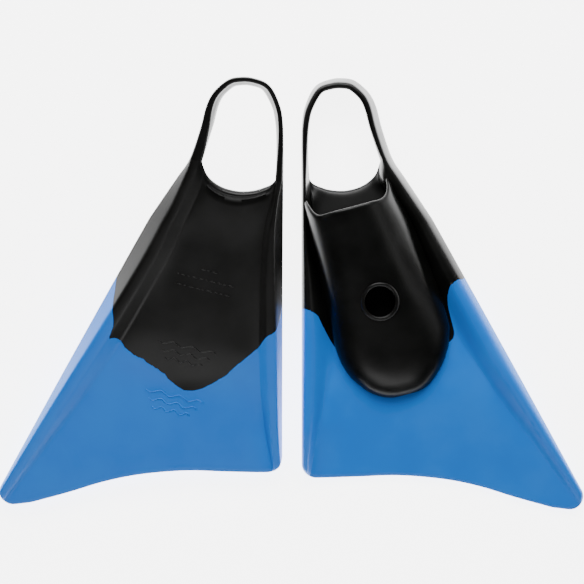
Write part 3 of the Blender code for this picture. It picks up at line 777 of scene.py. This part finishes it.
def temporary(bm):
    """Object that holds a bmesh for as long as its modifiers are needed."""
    mesh = bpy.data.meshes.new("temporary")
    bm.to_mesh(mesh)
    bm.free()
    made = bpy.data.objects.new("temporary", mesh)
    bpy.context.scene.collection.objects.link(made)
    return made


def applied(made):
    """Mesh of an object with its modifiers applied, as a bmesh; the object is removed."""
    graph = bpy.context.evaluated_depsgraph_get()
    bm = bmesh.new()
    bm.from_mesh(made.evaluated_get(graph).to_mesh())
    bpy.data.objects.remove(made)
    return bm


def pocket_mesh():
    """Pocket with an even wall, rounded lips, and a beaded drain hole through its instep."""
    settings = bpy.context.scene.swim_fins
    shell = temporary(pocket_shell())
    wall = shell.modifiers.new("wall", "SOLIDIFY")
    wall.thickness = settings.wall
    wall.offset = -1
    soft = shell.modifiers.new("soft", "SUBSURF")
    soft.levels = soft.render_levels = 2
    bpy.context.view_layer.update()
    bm = applied(shell)
    bmesh.ops.recalc_face_normals(bm, faces=bm.faces)
    shell = temporary(bm)
    bead = ring_mesh(settings.drain_radius + settings.drain_bead, settings.drain_bead)
    for vert in bead.verts:
        x, y = settings.drain_x + vert.co.x, settings.drain_y + vert.co.y
        vert.co = (x, y, vert.co.z + pocket_height(x, y) - settings.drain_bead * BEAD_SUNK)
    hole = bmesh.new()
    bmesh.ops.create_cone(hole, cap_ends=True, segments=96, radius1=settings.drain_radius,
                          radius2=settings.drain_radius, depth=0.04)
    bmesh.ops.translate(hole, verts=hole.verts, vec=(settings.drain_x, settings.drain_y, 0.042))
    for operation, cutter in (("UNION", temporary(bead)), ("DIFFERENCE", temporary(hole))):
        change = shell.modifiers.new("change", "BOOLEAN")
        change.operation = operation
        change.solver = "EXACT"
        change.object = cutter
        bpy.context.view_layer.update()
        bm = applied(shell)
        bpy.data.objects.remove(cutter)
        shell = temporary(bm)
    bm = applied(shell)
    for face in bm.faces:
        face.smooth = True
    sharpen(bm, SHARP_DRAIN_EDGE)
    return bm


# ---- materials -----------------------------------------------------------------------------------------

class Socket:
    """Shader output that can be used in sums."""
    def __init__(self, tree, socket):
        self.tree, self.socket = tree, socket

    def math(self, operation, *others):
        made = add_node(self.tree, "ShaderNodeMath", [self, *others], operation=operation)
        return Socket(self.tree, made.outputs[0])

    def __add__(self, other):
        return self.math("ADD", other)

    def __mul__(self, other):
        return self.math("MULTIPLY", other)

    def __sub__(self, other):
        return self.math("SUBTRACT", other)

    def __rsub__(self, other):
        return (self * -1.0) + other

    __radd__ = __add__
    __rmul__ = __mul__

    def smooth(self, low, high, to_low=0.0, to_high=1.0):
        made = add_node(self.tree, "ShaderNodeMapRange", [self, low, high, to_low, to_high],
                        interpolation_type="SMOOTHSTEP")
        return Socket(self.tree, made.outputs[0])


def add_node(tree, kind, inputs=(), **settings):
    """Node with its settings made and its inputs set or linked, in order."""
    made = tree.nodes.new(kind)
    for name, value in settings.items():
        setattr(made, name, value)
    for socket, value in zip(made.inputs, inputs):
        if isinstance(value, Socket):
            tree.links.new(value.socket, socket)
        elif value is not None:
            socket.default_value = value
    return made


def noise_socket(tree, place, scale, detail, roughness=0.5):
    """Noise over a place."""
    made = add_node(tree, "ShaderNodeTexNoise")
    tree.links.new(place.socket, made.inputs["Vector"])
    made.inputs["Scale"].default_value = scale
    made.inputs["Detail"].default_value = detail
    made.inputs["Roughness"].default_value = roughness
    return Socket(tree, made.outputs[0])


def mix_color(tree, factor, a, b):
    """Color between a and b."""
    made = tree.nodes.new("ShaderNodeMix")
    made.data_type = "RGBA"
    tree.links.new(factor.socket, made.inputs[0])
    for socket, value in ((made.inputs[6], a), (made.inputs[7], b)):
        if isinstance(value, Socket):
            tree.links.new(value.socket, socket)
        else:
            socket.default_value = value
    return Socket(tree, made.outputs[2])


def rubber(name, color, light, roughness, spread, grain, gloss):
    """Moulded rubber: faint clouding, a fine grain, and specks of dust."""
    material = bpy.data.materials.new(name)
    material.use_nodes = True
    tree = material.node_tree
    shader = tree.nodes["Principled BSDF"]
    foot_place = add_node(tree, "ShaderNodeAttribute", attribute_name="foot_place")
    place = Socket(tree, foot_place.outputs["Vector"])
    cloud = noise_socket(tree, place, 24.0, 5.0, 0.55)
    fine = noise_socket(tree, place, 900.0, 3.0)
    dust = noise_socket(tree, place, 420.0, 1.0).smooth(0.79, 0.83)
    shade = cloud.smooth(0.35, 0.7) * 0.7 + dust * 1.2
    color_socket = mix_color(tree, shade, color, light)
    tree.links.new(color_socket.socket, shader.inputs["Base Color"])
    rough = cloud.smooth(0.3, 0.75, roughness - spread, roughness + spread) + dust * 0.2
    tree.links.new(rough.socket, shader.inputs["Roughness"])
    bump = add_node(tree, "ShaderNodeBump")
    bump.inputs["Strength"].default_value = grain
    bump.inputs["Distance"].default_value = 0.0002
    height = fine * 0.5 + noise_socket(tree, place, 180.0, 2.0) * 0.6
    tree.links.new(height.socket, bump.inputs["Height"])
    tree.links.new(bump.outputs[0], shader.inputs["Normal"])
    shader.inputs["IOR"].default_value = 1.5
    shader.inputs["Specular IOR Level"].default_value = gloss
    return material


def get_material(kind):
    """Rubber of one kind, made once."""
    made = bpy.data.materials.get(kind)
    if made:
        return made
    if kind == "blue blade rubber":
        return rubber(kind, (0.003, 0.165, 0.67, 1), (0.005, 0.19, 0.71, 1), 0.44, 0.05, 0.10, 0.35)
    if kind == "hard black rubber":
        return rubber(kind, (0.0016, 0.0016, 0.0013, 1), (0.0035, 0.0035, 0.0032, 1), 0.36, 0.05, 0.10,
                      0.30)
    return rubber(kind, (0.0014, 0.0014, 0.0012, 1), (0.0032, 0.0032, 0.0029, 1), 0.33, 0.05, 0.08, 0.26)


# ---- operators -----------------------------------------------------------------------------------------

class SwimFinSettings(bpy.types.PropertyGroup):
    """Sizes and lights that can be changed in the panel's scene"""
    wall: FloatProperty(name="Pocket wall", description="Rubber thickness of the foot pocket",
                        default=0.0036, unit="LENGTH", subtype="DISTANCE")
    drain_radius: FloatProperty(name="Drain radius", description="Radius of the drain hole", default=0.0134,
                                unit="LENGTH", subtype="DISTANCE")
    drain_bead: FloatProperty(name="Drain bead", description="Radius of the bead round the drain hole",
                              default=0.0019, unit="LENGTH", subtype="DISTANCE")
    drain_x: FloatProperty(name="Drain across", description="Drain hole from the foot axis", default=-0.0042,
                           unit="LENGTH", subtype="DISTANCE")
    drain_y: FloatProperty(name="Drain along", description="Drain hole from the toes", default=0.088,
                           unit="LENGTH", subtype="DISTANCE")
    camera_height: FloatProperty(name="Camera height", description="Camera above the floor", default=2.4,
                                 unit="LENGTH", subtype="DISTANCE")
    table_glow: FloatProperty(name="Table glow", description="Brightness of the light table", default=5.5)
    frame_width: FloatProperty(name="Frame width", description="Width of floor that the picture shows",
                               default=0.525, unit="LENGTH", subtype="DISTANCE")


STRAP_BEND = ((0, ROOT_Y, 0.0145), (0, ROOT_Y + 0.03, 0.0145))
BLADE_BEND = ((0, 0.003, 0.01), (0, -0.045, 0.01))


def blend_ends(fin, bend):
    """Ends of a bend in the row frame, from its ends in the foot frame."""
    return [fin_place(fin) @ Vector(end) for end in bend]


class FINS_OT_soles(bpy.types.Operator):
    """Build the black sole with its two rails"""
    bl_idname = "fins.soles"
    bl_label = "Soles and rails"

    def execute(self, context):
        shape = foot_mesh("sole_and_rails", body_mesh())
        for fin in FINS:
            made = piece(f"{fin}_sole_and_rails", shape, fin_place(fin), get_material("hard black rubber"))
            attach(made, f"{fin}_fin")
            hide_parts(f"{fin}_sole", f"{fin}_inner_shoulder", f"{fin}_outer_shoulder")
        return {"FINISHED"}


class FINS_OT_straps(bpy.types.Operator):
    """Build the heel straps"""
    bl_idname = "fins.straps"
    bl_label = "Heel straps"

    def execute(self, context):
        shape = foot_mesh("heel_strap_rubber", strap_mesh())
        for fin in FINS:
            made = piece(f"{fin}_heel_strap_rubber", shape, fin_place(fin),
                         get_material("soft black rubber"))
            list(blend_ends(fin, STRAP_BEND))
            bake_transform(made)
            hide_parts(f"{fin}_heel_strap")
        return {"FINISHED"}


class FINS_OT_pockets(bpy.types.Operator):
    """Build the foot pockets with their drain holes"""
    bl_idname = "fins.pockets"
    bl_label = "Foot pockets"

    def execute(self, context):
        shape = foot_mesh("pocket_rubber", pocket_mesh())
        for fin in FINS:
            made = piece(f"{fin}_pocket_rubber", shape, fin_place(fin), get_material("soft black rubber"))
            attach(made, f"{fin}_fin")
            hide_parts(f"{fin}_foot_pocket")
        return {"FINISHED"}


class FINS_OT_blades(bpy.types.Operator):
    """Build the blue blades with their rails"""
    bl_idname = "fins.blades"
    bl_label = "Blades"

    def execute(self, context):
        shape = foot_mesh("blade_rubber", blade_mesh())
        for fin in FINS:
            made = piece(f"{fin}_blade_rubber", shape, fin_place(fin), get_material("blue blade rubber"))
            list(blend_ends(fin, BLADE_BEND))
            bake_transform(made)
            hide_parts(f"{fin}_blade_root", f"{fin}_blade_web", f"{fin}_inner_rail",
                        f"{fin}_outer_rail")
        return {"FINISHED"}


class FINS_OT_marks(bpy.types.Operator):
    """Build the plain raised bars and waves on the soles"""
    bl_idname = "fins.marks"
    bl_label = "Raised marks"

    def execute(self, context):
        black = foot_mesh("sole_marks", ridge_mesh(bar_rows() + waves(44)))
        blue = foot_mesh("blade_marks", ridge_mesh(waves(-3)))
        for fin in FINS:
            made = piece(f"{fin}_sole_marks", black, fin_place(fin), get_material("hard black rubber"))
            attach(made, f"{fin}_fin")
            made = piece(f"{fin}_blade_marks", blue, fin_place(fin), get_material("blue blade rubber"))
            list(blend_ends(fin, BLADE_BEND))
            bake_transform(made)
        return {"FINISHED"}


FLOOR_HALF_WIDTH = 5.0
FLOOR_GAP = 0.0005
AIR_GLOW = 0.04
SENSOR_WIDTH = 36.0
CAMERA_Y = 0.0016
# Soft lights: name, place, point they face, width, depth, power in watts
LIGHTS = (
    ("heel_light", (0.0, 1.7, 1.35), (0, 0.05, 0), 2.2, 0.9, 70),
    ("high_heel_light", (-0.3, 1.1, 1.9), (0, 0.1, 0), 0.7, 0.4, 6),
    ("right_light", (1.9, 0.2, 1.3), (0, 0, 0), 1.4, 0.7, 4),
    ("left_light", (-1.9, 0.2, 1.3), (0, 0, 0), 1.4, 0.7, 4),
    ("toe_light", (0.0, -1.6, 1.45), (0, 0, 0), 1.8, 0.6, 14),
)


def add_light(name, place, target, width, depth, power):
    """Soft light of a width, depth and power in watts."""
    data = bpy.data.lights.new(name, "AREA")
    data.shape = "RECTANGLE"
    data.size, data.size_y = width, depth
    data.energy = power
    made = bpy.data.objects.new(name, data)
    made.location = place
    made.rotation_euler = (Vector(target) - Vector(place)).to_track_quat("-Z", "Y").to_euler()
    bpy.context.scene.collection.objects.link(made)


def light_table(glow):
    """Pale floor that glows evenly."""
    table = bpy.data.materials.new("light table")
    table.use_nodes = True
    shader = table.node_tree.nodes["Principled BSDF"]
    shader.inputs["Base Color"].default_value = (0.8, 0.8, 0.8, 1)
    shader.inputs["Roughness"].default_value = 0.9
    shader.inputs["Emission Color"].default_value = (1, 1, 1, 1)
    shader.inputs["Emission Strength"].default_value = glow
    bm = bmesh.new()
    bmesh.ops.create_grid(bm, x_segments=2, y_segments=2, size=FLOOR_HALF_WIDTH)
    mesh = bpy.data.meshes.new("floor")
    bm.to_mesh(mesh)
    bm.free()
    mesh.materials.append(table)
    floor = bpy.data.objects.new("floor", mesh)
    floor.location.z = -FLOOR_GAP
    bpy.context.scene.collection.objects.link(floor)
    return floor


class FINS_OT_studio(bpy.types.Operator):
    """Set up the glowing floor, the soft lights and the camera straight above"""
    bl_idname = "fins.studio"
    bl_label = "Studio"

    def execute(self, context):
        settings = context.scene.swim_fins
        scene = context.scene
        world = bpy.data.worlds.new("studio air")
        scene.world = world
        world.use_nodes = True
        background = world.node_tree.nodes["Background"]
        background.inputs[0].default_value = (1, 1, 1, 1)
        background.inputs[1].default_value = AIR_GLOW
        light_table(settings.table_glow)
        for light in LIGHTS:
            add_light(*light)
        camera = bpy.data.objects.new("camera", bpy.data.cameras.new("camera"))
        camera.data.sensor_width = SENSOR_WIDTH
        camera.data.lens = SENSOR_WIDTH * settings.camera_height / settings.frame_width
        camera.data.clip_end = 20.0
        camera.location = (0.0, CAMERA_Y, settings.camera_height)
        scene.collection.objects.link(camera)
        scene.camera = camera
        return {"FINISHED"}


STEPS = (FINS_OT_soles, FINS_OT_straps, FINS_OT_pockets, FINS_OT_blades, FINS_OT_marks, FINS_OT_studio)


class FINS_PT_panel(bpy.types.Panel):
    """Buttons for each piece and for the studio"""
    bl_idname = "FINS_PT_panel"
    bl_label = "Swim fins"
    bl_space_type = "VIEW_3D"
    bl_region_type = "UI"
    bl_category = "Swim fins"

    def draw(self, context):
        for step in STEPS:
            self.layout.operator(step.bl_idname)


CLASSES = (SwimFinSettings, *STEPS, FINS_PT_panel)


def register():
    """Add the settings, the operators and the panel."""
    for item in CLASSES:
        bpy.utils.register_class(item)
    bpy.types.Scene.swim_fins = PointerProperty(type=SwimFinSettings)


def unregister():
    """Take them away again."""
    del bpy.types.Scene.swim_fins
    for item in reversed(CLASSES):
        bpy.utils.unregister_class(item)


def main():
    """Build the pieces and the studio."""
    register()
    bpy.ops.fins.soles()
    bpy.ops.fins.straps()
    bpy.ops.fins.pockets()
    bpy.ops.fins.blades()
    bpy.ops.fins.marks()
    bpy.ops.fins.studio()


if __name__ == "__main__":
    main()
